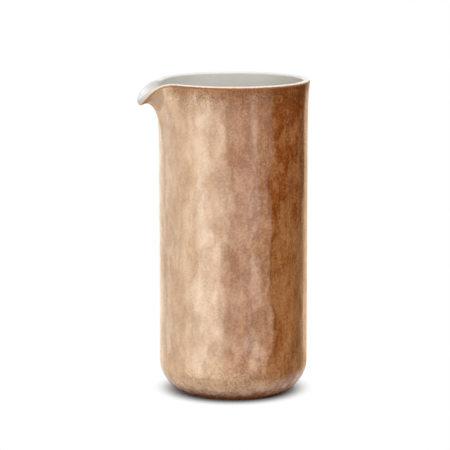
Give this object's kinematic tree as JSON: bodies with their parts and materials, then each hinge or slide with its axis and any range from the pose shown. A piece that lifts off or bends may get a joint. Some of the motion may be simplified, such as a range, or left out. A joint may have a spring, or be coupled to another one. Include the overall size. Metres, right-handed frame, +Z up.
{
  "type": "stoneware jug",
  "caption": "Straight-sided stoneware jug with a pulled pouring lip, brown glaze outside, white glaze inside and a bare foot ring, for holding and pouring drinks.",
  "frame": {"origin": "on the jug's axis, on the plane that the foot ring stands on", "axes": "+Z up along the jug's axis, -X towards the pouring lip"},
  "size_m": [0.1189, 0.1024, 0.214],
  "materials": {
    "bare_clay": "bare fired clay, matt",
    "stoneware_clay": "fired clay, matt",
    "brown_glaze": "satin brown glaze with fine streaks",
    "white_glaze": "smooth white liner glaze",
    "cream_edge": "thin cream glaze where the two coats meet",
    "base_wash": "thin brown wash"
  },
  "bodies": {
    "root": {"foot_ring": "bare_clay", "floor_slab": "stoneware_clay", "body_wall": "stoneware_clay", "spout": "stoneware_clay", "outer_glaze": "brown_glaze", "spout_outer_glaze": "brown_glaze", "inner_glaze": "white_glaze", "spout_inner_glaze": "white_glaze", "rim_glaze": "cream_edge", "spout_rim_glaze": "cream_edge", "base_glaze": "base_wash"}
  },
  "joints": []
}
